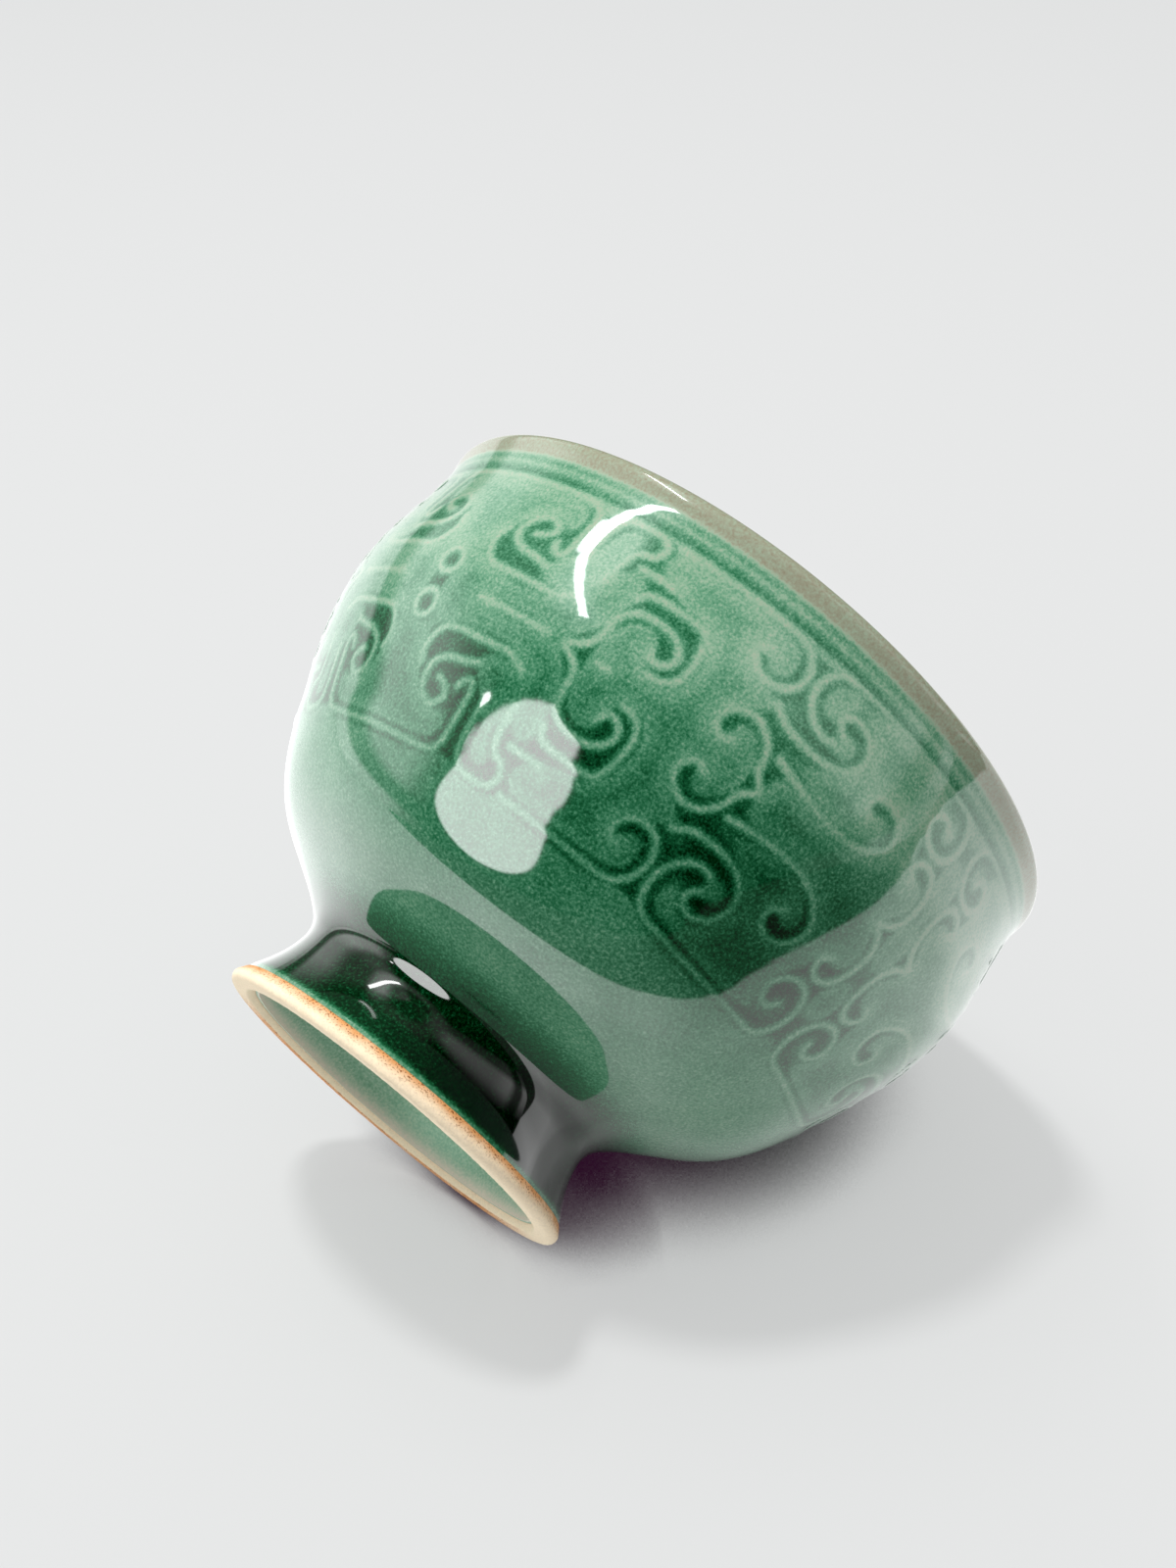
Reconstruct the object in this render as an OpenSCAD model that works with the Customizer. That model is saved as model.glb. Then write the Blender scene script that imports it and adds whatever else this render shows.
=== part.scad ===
// Celadon tea cup: a thrown bowl luted to a turned foot, coated with jade green glaze,
// with raised scroll panels round its wall. The origin is the middle of the foot's land, +Z is up
// and the front is towards -Y. Lengths are in millimetres, angles in degrees.

/* [Outline] */
// Height of the cup, table to lip
cup_h = 58; // [52:0.5:68]
// Width of the belly, the widest place
belly_d = 78.7; // [72:0.1:86]
// How far the belly lies below the lip
belly_drop = 14.5; // [10:0.5:18]
// How far the lip is drawn in from the belly, over the glaze
lip_in = 0.45; // [0:0.05:3]
// How far the waist just under the lip is drawn in from the belly
waist_in = 0.85; // [0:0.05:3]
// How far the waist lies below the lip
waist_drop = 4.1; // [3:0.1:6]
// How far the bowl is drawn in where its round bottom turns into the wall
flank_in = 4.55; // [2.5:0.05:6]
// How far that turn lies above the neck
flank_rise = 18.7; // [15:0.1:22]
// How far the bowl's round bottom is drawn in from the belly
bottom_in = 10; // [7:0.1:12]
// How far the round bottom lies above the neck
bottom_rise = 9.4; // [8:0.1:11]
// How far the flare from the neck into the bowl is drawn in from the belly
flare_in = 14.9; // [13.5:0.1:16.5]
// How far the flare lies above the neck
flare_rise = 5.8; // [5:0.1:7]

/* [Wall] */
// Thickness of the lip, over the glaze
lip_t = 2; // [1.8:0.1:3.2]
// Thickness of the wall at the belly and below, over the glaze
wall_t = 3.4; // [2.8:0.1:4.4]
// Thickness of the bowl's floor in the middle, clay and inner glaze
floor_t = 4.7; // [3.5:0.1:6]
// How far above the floor the round inside ends and the wall begins
inside_rise = 10.2; // [8:0.1:12]

/* [Foot] */
// Height of the foot, table to the luted joint
foot_h = 6.8; // [5.5:0.1:9]
// How far the neck, the narrowest place, lies above the joint
neck_rise = 1.9; // [1.2:0.1:3]
// Outer width of the flat land that the cup stands on
land_d = 41; // [38:0.1:46]
// How far the foot's rounded edge stands out past the land
foot_round = 0.7; // [0.3:0.05:1.2]
// How far the neck is drawn in from the land
neck_in = 2.4; // [1.5:0.1:3]
// Width of the flat land
land_w = 1.7; // [1:0.1:2.4]
// Height of the foot's widest place above the table
foot_edge_h = 0.9; // [0.5:0.1:1.3]
// Width of the bevel between the land and the well
land_bevel = 0.5; // [0.2:0.1:0.9]
// Thickness of the foot at the neck, over the glaze
neck_t = 2.9; // [2.4:0.1:4]
// Thickness of the slip in the joint
slip_t = 0.3; // [0.2:0.05:0.6]

/* [Glaze] */
// Thickness of the glaze
glaze_t = 0.5; // [0.3:0.05:0.7]
// Height of the glaze's edge on the outside of the foot
foot_line_h = 2; // [1.4:0.1:2.4]
// Height of the glaze's edge inside the well
well_line_h = 0.8; // [0.5:0.1:1.4]
// Depth of the pale band where the glaze runs thin over the lip
lip_band_h = 2.2; // [1.6:0.1:3]

/* [Relief] */
// Width of a raised line
line_w = 0.9; // [0.6:0.05:0.95]
// Height of a raised line
line_h = 0.4; // [0.2:0.05:0.6]
// Clearance under the raised lines
seat_gap = 0.03; // [0.03:0.01:0.06]
// How far the panels' upper edge lies below the lip
band_drop = 5.05; // [5:0.05:7]
// How far the panels' lower edge lies above the neck
band_rise = 15.5; // [13:0.05:16]
// Turn of the first panel's middle line from the front
panel_turn = -47.4; // [-90:0.1:90]
// How far the border line lies below the lip
border_drop = 3.7; // [3.2:0.1:4.4]
// Width of the border line
border_w = 1.1; // [0.8:0.1:1.3]

/* [Hidden] */
$fn = 96;
PANELS = [
    ["scroll_panel_front", 0, 1],
    ["scroll_panel_left", 0, -1],
    ["scroll_panel_back", 180, 1],
    ["scroll_panel_right", 180, -1],
];

glaze_colour = "#4f8f6c";
relief_colour = "#9cc5ae";
lip_colour = "#b9c0a4";
clay_colour = "#ecd9b8";
slip_colour = "#d9bd92";

// Widths that follow from the sizes above
lip_d = belly_d - 2 * lip_in;
waist_d = belly_d - 2 * waist_in;
flank_d = belly_d - 2 * flank_in;
bottom_d = belly_d - 2 * bottom_in;
flare_d = belly_d - 2 * flare_in;
foot_d = land_d + 2 * foot_round;
neck_d = land_d - 2 * neck_in;
well_d = neck_d - 2 * neck_t;

// Heights that follow from the sizes above
neck_z = foot_h + neck_rise;
flare_z = neck_z + flare_rise;
bottom_z = neck_z + bottom_rise;
flank_z = neck_z + flank_rise;
belly_z = cup_h - belly_drop;
waist_z = cup_h - waist_drop;
lip_r = lip_t / 2;
lip_z = cup_h - lip_r;
lip_line_z = cup_h - lip_band_h;
joint_z = foot_h + slip_t;
floor_z = joint_z + floor_t;
inside_z = floor_z + inside_rise;

// Slopes of the outline, as widening per rise, where it isn't upright
foot_slope = -0.66;
flare_slope = 1.65;
bottom_ease = 0.7;
bottom_slope = bottom_ease * (bottom_d - flare_d) / 2 / (bottom_z - flare_z);
flank_slope = 0.46;
lip_slope = 0.2;

// The glazed outline: height, radius and slope at each place that gives it its shape
outline = [
    [foot_edge_h, foot_d / 2, foot_slope],
    [neck_z, neck_d / 2, 0],
    [flare_z, flare_d / 2, flare_slope],
    [bottom_z, bottom_d / 2, bottom_slope],
    [flank_z, flank_d / 2, flank_slope],
    [belly_z, belly_d / 2, 0],
    [waist_z, waist_d / 2, 0],
    [lip_z, lip_d / 2, lip_slope],
];

// Smooth curve through two places of the outline, and its slope
function span(z, i = 0) = i >= len(outline) - 2 || z < outline[i + 1][0] ? i : span(z, i + 1);
function hermite(a, b, t, h) =
    a[1] * (2 * t ^ 3 - 3 * t ^ 2 + 1) + a[2] * h * (t ^ 3 - 2 * t ^ 2 + t)
    + b[1] * (3 * t ^ 2 - 2 * t ^ 3) + b[2] * h * (t ^ 3 - t ^ 2);
function on_span(a, b, z) = hermite(a, b, (z - a[0]) / (b[0] - a[0]), b[0] - a[0]);
function outer_r(z) = let (i = span(z)) on_span(outline[i], outline[i + 1], z);
slope_step = 0.01;
function outer_slope(z) = (outer_r(z + slope_step) - outer_r(z - slope_step)) / (2 * slope_step);

// How wide a coat of thickness t is when it is measured level on the sloping outline
function level(t, z) = t * sqrt(1 + outer_slope(z) ^ 2);

// The wall thins evenly from the belly to the lip
function wall_at(z) =
    z < belly_z ? level(wall_t, z) : wall_t + (lip_t - wall_t) * (z - belly_z) / (lip_z - belly_z);
function inner_r(z) = outer_r(z) - wall_at(z);

// Heights from one place to another in steps of about profile_step
profile_step = 1.4;
function heights(from, to) =
    let (n = max(1, ceil(abs(to - from) / profile_step)))
    [for (i = [0 : n]) from + (to - from) * i / n];

// A cubic curve between two points with a handle at each
bowl_steps = 14;
function bezier(a, b, c, d) = [
    for (i = [0 : bowl_steps])
        let (t = i / bowl_steps)
        a * (1 - t) ^ 3 + b * 3 * t * (1 - t) ^ 2 + c * 3 * t ^ 2 * (1 - t) + d * t ^ 3
];

// The round inside of the bowl from the wall to the middle of the floor, for a surface of depth d
inside_handle = 5;
floor_handle = 15;
function bowl_inside(d) =
    let (r = inner_r(inside_z) + level(d, inside_z), s = outer_slope(inside_z))
    bezier([r, inside_z], [r - inside_handle * s, inside_z - inside_handle],
        [floor_handle, floor_z - d], [0, floor_z - d]);

// Stretches of the section, each for a surface of depth d under the glaze's face
function outside(from, to, d) = [for (z = heights(from, to)) [outer_r(z) - level(d, z), z]];
function inside(from, to, d) = [for (z = heights(from, to)) [inner_r(z) + level(d, z), z]];
lip_steps = 12;
same_point = 1e-6;
function lip_arc(d) = [
    for (i = [1 : lip_steps - 1])
        let (a = 180 * i / lip_steps)
        [lip_d / 2 - lip_r + (lip_r - d) * cos(a), lip_z + (lip_r - d) * sin(a)]
];
function chain(lists) =
    let (all = [for (list = lists) each list])
    [for (i = [0 : len(all) - 1]) if (i == 0 || norm(all[i] - all[i - 1]) > same_point) all[i]];
function skin(d) = chain([outside(foot_line_h, foot_h, d), outside(foot_h, joint_z, d),
    outside(joint_z, lip_line_z, d)]);
function over_lip(d) =
    chain([outside(lip_line_z, lip_z, d), lip_arc(d), inside(lip_z, lip_line_z, d)]);
function within(d) = chain([inside(lip_line_z, inside_z, d), bowl_inside(d)]);

// The foot's rounded outer edge, and its inside from the land up to the joint
edge_steps = 5;
land_r = land_d / 2 - land_w;
foot_edge = [
    for (i = [0 : edge_steps])
        let (a = 90 * i / edge_steps)
        [land_d / 2 + (foot_d - land_d) / 2 * sin(a), foot_edge_h * (1 - cos(a))]
];
well_steps = 8;
well_foot_r = land_r - land_bevel;
well_wall = [
    for (i = [0 : well_steps])
        let (t = i / well_steps)
        [well_foot_r + (well_d / 2 - well_foot_r) * (1 - cos(90 * t)),
         well_line_h + (foot_h - well_line_h) * t]
];

function reversed(list) = [for (i = [len(list) - 1 : -1 : 0]) list[i]];
module turned(section) {
    rotate_extrude()
        polygon(section);
}
// A coat between two surfaces that have as many points
module coat(face, back) {
    turned(concat(face, reversed(back)));
}

// The scroll ornament
// Each stroke runs through [angle from the panel's middle line, height from its level line], in the
// upper half of a panel, whose lower half mirrors it.
bar_hook = [[0, 14.3], [7, 14.3], [13, 14.2], [15.1, 13.5], [15.8, 12], [16.1, 9.2], [15.8, 7.4],
    [14.6, 7.2], [13.6, 8.2]];
eye_spiral = [[9.7, 8.2], [11.2, 8.5], [12.1, 9.5], [10.2, 10.6], [7.6, 9.8], [6.9, 8], [7.9, 6.8],
    [9.9, 6.1], [12.2, 5.9], [15, 5.5]];
eye_frame = [[5.1, 7.7], [4.5, 6.6], [4.8, 5.2], [5.9, 4.1], [7.7, 3.5], [13, 3.4], [19, 3.4], [21.9, 4.3]];
axis_ring = [[0, 3.8], [1.45, 3.4], [2.05, 2.4], [1.45, 1.4], [0, 1]];
top_curl = [[18.8, 8.6], [18.8, 12], [19.4, 13.5], [21, 14.2], [25.6, 14.3], [27.3, 13.2], [26.6, 11.9],
    [25, 11.5], [23.9, 10.4], [23.6, 7]];
short_bar = [[26.4, 10.2], [29.2, 10.2], [32, 10.2]];
long_hook = [[28.9, 14.3], [35, 14.3], [42, 14.3], [49.2, 14.2], [51.9, 13.3], [53.1, 11.8],
    [53, 10.3], [51.6, 8.9], [49.2, 8.4], [47.2, 8.8], [45.8, 9.8], [46, 10.9], [47.2, 11.4]];
inner_frame = [[29, 7.2], [29.7, 8], [31, 8.4], [34.5, 8.5], [38, 8.4], [39.6, 7.8], [40.5, 6], [40.7, 4],
    [40, 2.6], [38.4, 1.9], [36.8, 1.8]];
inner_spiral = [[24.9, 0], [27.2, 0.9], [28.3, 2], [28.6, 3.8], [29, 5], [30.5, 6], [33.3, 6.4],
    [36.4, 6.1], [38.1, 5.1], [38.4, 4], [37.3, 3.2], [35.9, 3.1], [35, 3.9]];
leaf_spiral = [[57.8, 0], [56.1, 1.2], [55.3, 2.9], [53.7, 4.3], [51.2, 5], [48.7, 4.5], [47.4, 3.3],
    [47.8, 2.1], [49.1, 1.5], [50.5, 1.9]];
crest_scroll = [[61.2, 8.3], [60, 8], [58.3, 8.2], [56.5, 9], [55.3, 10.3], [55, 12], [56, 13.6], [58, 14.5],
    [64, 14.8], [71, 14.9], [78, 14.9], [84.6, 14.8], [86.9, 14.1], [88.1, 12.4], [87.7, 10.4], [86.1, 9],
    [83.6, 8.6], [81.3, 9.3], [80.2, 10.6], [81.2, 11.9], [83, 12.2], [84.3, 11.3]];
cloud_spiral = [[61.6, 9.6], [60.3, 10.5], [61.1, 11.5], [62.9, 11.8], [65.3, 11.1], [66.5, 9.6],
    [66.2, 8.1], [64.7, 6.9], [62.4, 6.2], [59, 6], [54.9, 6.3], [52.4, 7.3]];
tail_spiral = [[57, 3.5], [59.5, 3.1], [63.9, 2.6], [68.9, 2.4], [72.9, 2.9], [75.6, 3.9], [77.1, 5.1],
    [77.1, 6.6], [75.7, 7.9], [73.3, 8.3], [71.1, 7.8], [70.7, 6.5], [72.2, 5.7]];
end_curl = [[84.6, 0], [86.2, 0.8], [87.4, 1.9], [87.9, 3.7], [87.7, 5.4], [86.7, 6.8], [84.9, 7.4],
    [83.1, 7], [82.3, 6], [83.4, 5.2]];
level_bar = [[9.3, 0], [15.6, 0], [22, 0]];
boss = [[30.6, 0], [31.9, 0]];

// Strokes that are drawn above and below the level line, and strokes that cross or lie on it
paired_strokes = [bar_hook, eye_spiral, eye_frame, axis_ring, top_curl, short_bar, long_hook, inner_frame,
    crest_scroll, cloud_spiral, tail_spiral];
braces = [inner_spiral, leaf_spiral, end_curl];
level_strokes = [level_bar, boss];
function mirrored(stroke) = [for (p = stroke) [p[0], -p[1]]];
function braced(stroke) =
    concat(reversed(stroke), [for (i = [1 : len(stroke) - 1]) [stroke[i][0], -stroke[i][1]]]);
panel_strokes = concat(
    paired_strokes,
    [for (s = paired_strokes) mirrored(s)],
    [for (s = braces) braced(s)],
    level_strokes
);

// The panel's place on the wall, and how far its strokes are stretched to fill it
band_top = cup_h - band_drop;
band_bottom = neck_z + band_rise;
level_z = (band_top + band_bottom) / 2;
stroke_top = max([for (s = panel_strokes) each [for (p = s) p[1]]]);
rise_scale = (band_top - band_bottom) / 2 / stroke_top;
line_fit = line_w * min(1, rise_scale);
arc_per_degree = belly_d / 2 * PI / 180;

// Rounds a stroke: a smooth curve through its points, with a ring wherever it turns or runs on
ring_turn = 30;
ring_run = 2.8;
function flat(p) = [p[0] * arc_per_degree, p[1] * rise_scale];
function heading(a, b) = let (d = flat(b) - flat(a)) atan2(d[1], d[0]);
function turn_between(a, b) = let (d = abs(a - b)) min(d, 360 - d);
function rings_on(a, b, c, d) =
    max(1, ceil(turn_between(heading(a, c), heading(b, d)) / ring_turn),
        ceil(norm(flat(c) - flat(b)) / ring_run));
function curve_at(a, b, c, d, t) =
    (2 * b + (c - a) * t + (2 * a - 5 * b + 4 * c - d) * t ^ 2
     + (3 * b - a - 3 * c + d) * t ^ 3) / 2;
function rounded(s) = concat(
    [for (i = [0 : len(s) - 2])
        let (a = s[max(0, i - 1)], b = s[i], c = s[i + 1], d = s[min(len(s) - 1, i + 2)])
        let (n = rings_on(a, b, c, d))
        for (k = [0 : n - 1]) curve_at(a, b, c, d, k / n)],
    [s[len(s) - 1]]
);

// A point at an angle from the front and a height, raised off the glaze along its normal
function on_wall(turn, z, lift) =
    let (s = outer_slope(z), k = 1 / sqrt(1 + s ^ 2), r = outer_r(z) + lift * k)
    [r * sin(turn), -r * cos(turn), z - lift * s * k];

// One raised line: rings of two corners on the wall and a crest between them
ring_corners = 3;
tip_share = 0.6;
function tip_scale(path, i) =
    path[i][0] == 0 || (i > 0 && i < len(path) - 1) ? 1 : tip_share;
function placed(p, middle, side) =
    [panel_turn + middle + side * p[0], level_z + p[1] * rise_scale];
function line_ring(before, at, after, share) =
    let (z = at[1], per_degree = outer_r(z) * PI / 180, per_rise = sqrt(1 + outer_slope(z) ^ 2))
    let (along = [(after[0] - before[0]) * per_degree, (after[1] - before[1]) * per_rise])
    let (half = line_fit / 2 * share / norm(along))
    let (dt = -along[1] * half / per_degree, dz = along[0] * half / per_rise)
    [on_wall(at[0] + dt, z + dz, seat_gap), on_wall(at[0], z, seat_gap + line_h * share),
     on_wall(at[0] - dt, z - dz, seat_gap)];
function line_rings(path, middle, side) =
    let (q = [for (p = path) placed(p, middle, side)], last = len(q) - 1)
    [for (i = [0 : last])
        each line_ring(q[max(0, i - 1)], q[i], q[min(last, i + 1)], tip_scale(path, i))];
function line_faces(rings, start) = concat(
    [[start, start + 1, start + 2]],
    [for (i = [0 : rings - 2], k = [0 : ring_corners - 1])
        let (a = start + i * ring_corners + k, b = start + i * ring_corners + (k + 1) % ring_corners)
        each [[a, a + ring_corners, b], [b, a + ring_corners, b + ring_corners]]],
    [let (e = start + (rings - 1) * ring_corners) [e + 2, e + 1, e]]
);
function starts(paths, i = 0, total = 0) =
    i == len(paths) ? [] : concat([total], starts(paths, i + 1, total + len(paths[i]) * ring_corners));
panel_paths = [for (s = panel_strokes) rounded(s)];

module scroll_panel(middle, side) {
    first = starts(panel_paths);
    color(relief_colour)
        polyhedron(
            points = [for (path = panel_paths) each line_rings(path, middle, side)],
            faces = [for (i = [0 : len(panel_paths) - 1]) each line_faces(len(panel_paths[i]), first[i])]
        );
}

// The low round line that borders the panels under the lip
border_steps = 6;
module border_line() {
    middle_z = cup_h - border_drop;
    function border_z(i) = middle_z + border_w * (i / border_steps - 0.5);
    seat = [for (i = [0 : border_steps]) [outer_r(border_z(i)) + seat_gap, border_z(i)]];
    crown = [for (i = [1 : border_steps - 1]) seat[i] + [line_h * sin(180 * i / border_steps), 0]];
    color(relief_colour)
        turned(concat(seat, reversed(crown)));
}

// The turned foot: bare land and edges, a well inside and a flat top for the joint
module foot_ring() {
    bare = outside(foot_edge_h, foot_line_h, 0);
    glazed = outside(foot_line_h, foot_h, glaze_t);
    color(clay_colour)
        turned(chain([[[land_r, 0]], foot_edge, bare, glazed, reversed(well_wall)]));
}

// The slip that luted the bowl to the foot
module luting_slip() {
    color(slip_colour)
        turned(concat([[well_d / 2, foot_h]], outside(foot_h, joint_z, glaze_t), [[well_d / 2, joint_z]]));
}

// The thrown bowl, from its flat underside at the joint to the lip, under the glaze
module bowl_body() {
    color(clay_colour)
        turned(chain([[[0, joint_z]], outside(joint_z, lip_line_z, glaze_t), over_lip(glaze_t),
            within(glaze_t)]));
}

// The glaze on the outside, from its edge on the foot to the pale lip
module outer_glaze() {
    color(glaze_colour)
        coat(skin(0), skin(glaze_t));
}

// The thin pale glaze over the lip
module lip_glaze() {
    color(lip_colour)
        coat(over_lip(0), over_lip(glaze_t));
}

// The glaze on the inside of the bowl
module inner_glaze() {
    color(glaze_colour)
        coat(within(0), within(glaze_t));
}

// The glaze in the foot's well: its wall, the joint and the bowl's underside
module well_glaze() {
    coat_z = joint_z - glaze_t;
    ceiling = [[well_d / 2, joint_z], [0, joint_z]];
    face = [for (p = well_wall) if (p[1] < coat_z) p - [glaze_t, 0]];
    color(glaze_colour)
        turned(concat(well_wall, ceiling, [[0, coat_z], [well_d / 2 - glaze_t, coat_z]], reversed(face)));
}

foot_ring();
luting_slip();
bowl_body();
outer_glaze();
lip_glaze();
inner_glaze();
well_glaze();
border_line();
for (panel = PANELS)
    scroll_panel(panel[1], panel[2]);
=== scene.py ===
"""Celadon cup with a scroll band, lying on a pale studio floor.

One grid of points, the skin, covers the outside, the lip and the inside of the
cup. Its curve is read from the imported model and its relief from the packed
scroll lines. The pieces are cut out of that grid.
"""

import functools
import math

import bpy
import numpy as np
from mathutils import Matrix, Vector, noise


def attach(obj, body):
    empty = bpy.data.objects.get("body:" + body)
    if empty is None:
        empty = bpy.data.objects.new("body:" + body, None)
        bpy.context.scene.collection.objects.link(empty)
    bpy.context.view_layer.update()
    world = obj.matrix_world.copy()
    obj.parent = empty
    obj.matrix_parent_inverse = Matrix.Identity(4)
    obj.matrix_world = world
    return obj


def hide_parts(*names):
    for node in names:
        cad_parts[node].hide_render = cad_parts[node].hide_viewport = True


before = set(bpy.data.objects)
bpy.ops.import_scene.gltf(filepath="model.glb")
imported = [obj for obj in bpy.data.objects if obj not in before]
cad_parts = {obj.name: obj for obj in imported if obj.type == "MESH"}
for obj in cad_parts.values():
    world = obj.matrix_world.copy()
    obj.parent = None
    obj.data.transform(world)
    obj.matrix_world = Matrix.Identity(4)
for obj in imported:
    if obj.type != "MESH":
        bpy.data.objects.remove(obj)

bl_info = {
    "name": "Celadon cup",
    "version": (1, 0, 0),
    "blender": (4, 5, 0),
    "location": "View3D > Sidebar > Celadon cup",
    "description": "Builds a celadon cup with a raised scroll band and its studio",
    "category": "Object",
}

MM = 0.001
PANELS = ("front", "right", "back", "left")

# Columns of points over one panel, and around the cup, its foot ring and the well inside the foot.
QUARTER = 240
COLUMNS = len(PANELS) * QUARTER
RING_COLUMNS = 640
WELL_COLUMNS = 480

# Corners of an outline, by how much radius and height count in finding them.
LOW_OUT = (1, -1000)
LOW_IN = (-1, -1000)
HIGH_OUT = (1, 1000)
HIGH_IN = (-1, 1000)
AT_AXIS = (-1000, 1)
FOOT_CORNER = (1, -0.5)

# Meshes, in millimetres.
BANDS = {"lower": 0.34, "scroll": 0.23, "border": 0.2, "lip": 0.16, "inner": 0.9}  # steps of rows
BACK_STEP = 3.0  # about the longest step of rows behind a coat
BACK_ROWS = 8  # rows of a face for one row behind it, at the most
COAT = 0.45  # thickness of a coat of glaze
PINHOLE = 0.02  # radius left open at the axis
RING_STEP = 0.16  # step of rows on the foot ring
RING_ROUNDS = 2  # of smoothing

# Shares of a map: height for the face of a belt, width for its columns, places of its two ends.
MAP_FACE = 0.9
MAP_COLUMNS = 0.97
MAP_ENDS = (0.98, 0.99)

# Scroll lines, in millimetres but for the angle.
BAND_BELOW = 1.2  # room in the band under its lowest line
BAND_ABOVE = 0.35  # room over its highest line
CREST_RISE = 0.15  # least height of a packed crest over the coat
LINE_STEP = 0.15  # step of points on a line
LINE_REACH = 4.5  # way from a line at which it counts no more
LINE_SPREAD = 1.2  # blur of the lines where their number is asked
LAYOUT_RADIUS = 38.0  # radius at which the band is laid out flat
NEXT_PANEL = 0.12  # angle within which the lines of the next panel count
NOWHERE = 99.0  # way to a line where none is in reach

# Depth of the glaze in the scroll band: ways and heights in millimetres, and shares.
BODY_EDGE = (1.1, 2.5)  # way from a line over which its low body ends
CLOSE_LINES = (0.8, 1.1)  # number of lines side by side from which the glaze pools
BAND_START = (0, 2.2)  # from the band's lower edge
BAND_END = (-1.6, -0.9)  # from the border line
BODY_SHARES = (1.12, 0.88)  # of the ground's depth, off and on the low body
THIN_HEIGHTS = (30, 46)
THIN_SHARES = (1.1, 0.7)  # of the depth, thinner towards the lip
CREST_HEIGHTS = (26, 40)
CREST_SHARES = (0.6, 1)  # by which the crests stand out, more towards the lip
POOL_FALL = 0.02  # of the surface in a pool

# Border line: places from its middle, half widths, depths of glaze and heights, in millimetres.
BORDER_HALF = 0.5
GROOVES = (-1.05, 1.0)
GROOVE_HALF = 0.35
STRIP_START = (-1.2, -0.4)
STRIP_DEPTH = 0.36
GROOVE_DEPTH = 1.5  # times the depth on the ground
GROOVE_SHARES = (0.55, 0.35)
BORDER_DEPTH = 0.17
BORDER_SHARE = 0.8
BORDER_RISE = 0.06
GROOVE_FALL = 0.03

# Foot and lip: heights, ways from the glaze's edge or the lip's, and depths, in millimetres.
FOOT_HEIGHTS = (9, 14)
FOOT_START = (0.2, 1.2)
FOOT_DEPTH = 0.85
NECK_HEIGHT = 9
NECK_HALF = 3.2
NECK_DEPTH = 0.1
EDGE_START = (0.1, 0.7)
EDGE_LOSS = 0.1
EDGE_ROLL = 0.6  # way over which the glaze's edge is rolled
LIP_START = (-1.2, -0.1)
LIP_END = (-0.6, 3.0)

# Patches of deeper, darker glaze on the belly, and one low on the foot's near right side under the bowl
# that is painted shade: share added, height and reach in mm, turn and reach in radians.
DARKER_PATCHES = (
    (0.5, 29, 15, 0, 0.8), (0.75, 31.5, 10, 0.42, 0.2),
    # The patch at height 3 on the foot is painted shade.
    (0.3, 21, 4, -0.4, 0.35), (0.9, 3, 6, 0.55, 0.5))

# Colour of the glaze: depths in millimetres, and what iron takes of red, green and blue.
TINT_DEPTH = 0.5
COLOUR_DEPTHS = (0, 0.06, 0.12, 0.18, 0.27, 0.38, 0.54, 0.75, 1.2, 1.7, 2.4)
IRON_DEPTH = 0.095
IRON = (0.78, 0.8, 0.88)

# Share of the relief that the shading normals follow, so that the mirrored room stays whole.
SHADED_RELIEF = 0.07

# Bare ring: heights and ways in millimetres, and shares of the land from its outer edge inwards.
BARE_END = (1.7, 2.2)
GRIT_DEPTH = 0.03
GRIT_MOST = 0.12
COARSE_GRIT = 3  # times the grain
COARSE_SHARE = 0.7
FLUSH_HEIGHT = 2.0
FLUSH_HALF = 0.9
INNER_FLUSH = (0, 0.1)
LAND_TOP = 0.05
FILM_HEIGHTS = (0.1, 0.3)
# Shares of the land that carry a painted highlight at its inner edge, and on the near side only at the very
# edge.
LAND_HIGHLIGHT_SHARES = (0.68, 0.85)
NEAR_HIGHLIGHT_START = 0.9
NEAR_HIGHLIGHT = 0.8
FAR_SIDE = (0.1, 0.8)  # from the side to the back

# Well: rows of its face, rounds of smoothing, way and depths of its glaze, in millimetres.
WELL_ROWS = 70
WELL_ROUNDS = 12
WELL_EDGE = 2.2
WELL_DEPTHS = (0.03, 0.23)

# Stage: heights on the cup, places and sizes in millimetres, but the floor and the lamps in metres.
FOOT_EDGE_TOP = 2
BOWL_START = 12
MIDDLE = 29.0  # half the cup's height
FLOOR_GAP = 0.05
FLOOR_REACH = 2.0
LENS = 49.5
CAMERA_PLACE = (0, -219.8, -22.6)
CAMERA_AIM = (-6.1, 0, 39.9)
# A glowing bell around the foot that gives a painted reflection in the bowl.
REFLECTION_BELL = ((23.0, 1.0), (22.6, 2.2), (21.4, 4.0), (19.8, 6.0))  # radius and height
REFLECTION_BELL_COLUMNS = 128

# Light: levels and shares, and directions as azimuth and elevation in degrees.
SHADE_LIGHT = 0.62  # of the board's own light, away from the cup
BOARD_MATT = 0.37  # of the light on the board, scattered
BOARD_AGAIN = 0.2
ROOM_AGAIN = 0.15
BACKDROP = 0.77
BRIGHTEST = 5.0
WINDOWS = ((-52, 22.5, 19.4, 8.8), (-75.5, 34.2, 1.35, 18.0))  # direction, radius, level
WINDOW_EDGE = (1.025, 0.975)  # shares of the radius
SOFT_SIDE = (-130, 42)
SOFT_SHARES = (0.42, 1.55)
LAMP_ENDS = ((-154, 59.8), (-78, 68))
LAMP_FAR = 0.6
LAMP_WIDTH = 0.03
LAMP_LEVEL = 18
HIGHLIGHT = (-17, -35, 48)  # spot on the bowl, in millimetres, that the strip lamp faces
OVERHEAD = (-108, 79)
OVERHEAD_FAR = 1.2
OVERHEAD_WIDTH = 0.16
OVERHEAD_LEVEL = 0.75


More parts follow.
